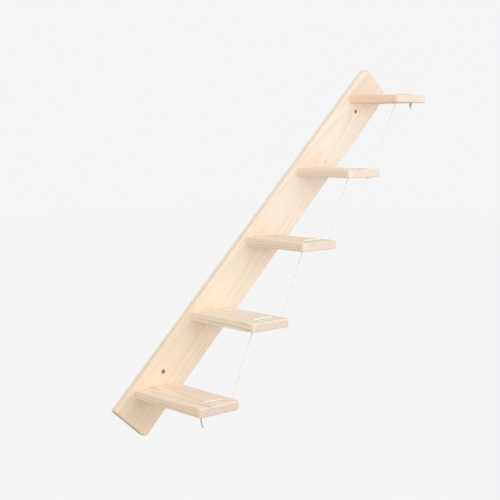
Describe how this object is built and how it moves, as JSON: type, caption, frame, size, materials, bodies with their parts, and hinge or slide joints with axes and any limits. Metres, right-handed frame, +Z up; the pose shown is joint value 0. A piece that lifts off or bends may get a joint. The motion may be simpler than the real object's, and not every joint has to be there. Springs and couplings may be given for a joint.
{
  "type": "cat wall steps",
  "caption": "Pine climbing steps for a cat: a slanting board that hangs flat on the wall carries level steps, with one white cord laced through their front ends.",
  "frame": {"origin": "middle of the back board's back face, which lies flat on the wall", "axes": "+X to the right along the wall seen from the front, +Y into the wall, +Z up; the steps stand out towards -Y"},
  "size_m": [0.8249, 0.2648, 0.7744],
  "materials": {
    "pine": "planed and sanded solid pine, left pale",
    "white_cord": "twisted white cotton",
    "zinc_steel": "bright zinc plate",
    "bronzed_steel": "brown bronze plate"
  },
  "bodies": {
    "root": {"back_board": "pine", "step_1": "pine", "step_2": "pine", "step_3": "pine", "step_4": "pine", "step_5": "pine", "step_1_screw_left": "zinc_steel", "step_1_screw_right": "zinc_steel", "step_2_screw_left": "zinc_steel", "step_2_screw_right": "zinc_steel", "step_3_screw_left": "zinc_steel", "step_3_screw_right": "zinc_steel", "step_4_screw_left": "zinc_steel", "step_4_screw_right": "zinc_steel", "step_5_screw_left": "zinc_steel", "step_5_screw_right": "zinc_steel", "wall_screw_upper": "bronzed_steel", "wall_screw_lower": "bronzed_steel", "cord": "white_cord", "knot_top": "white_cord", "knot_low": "white_cord", "tail_top": "white_cord", "tail_low": "white_cord"}
  },
  "joints": []
}
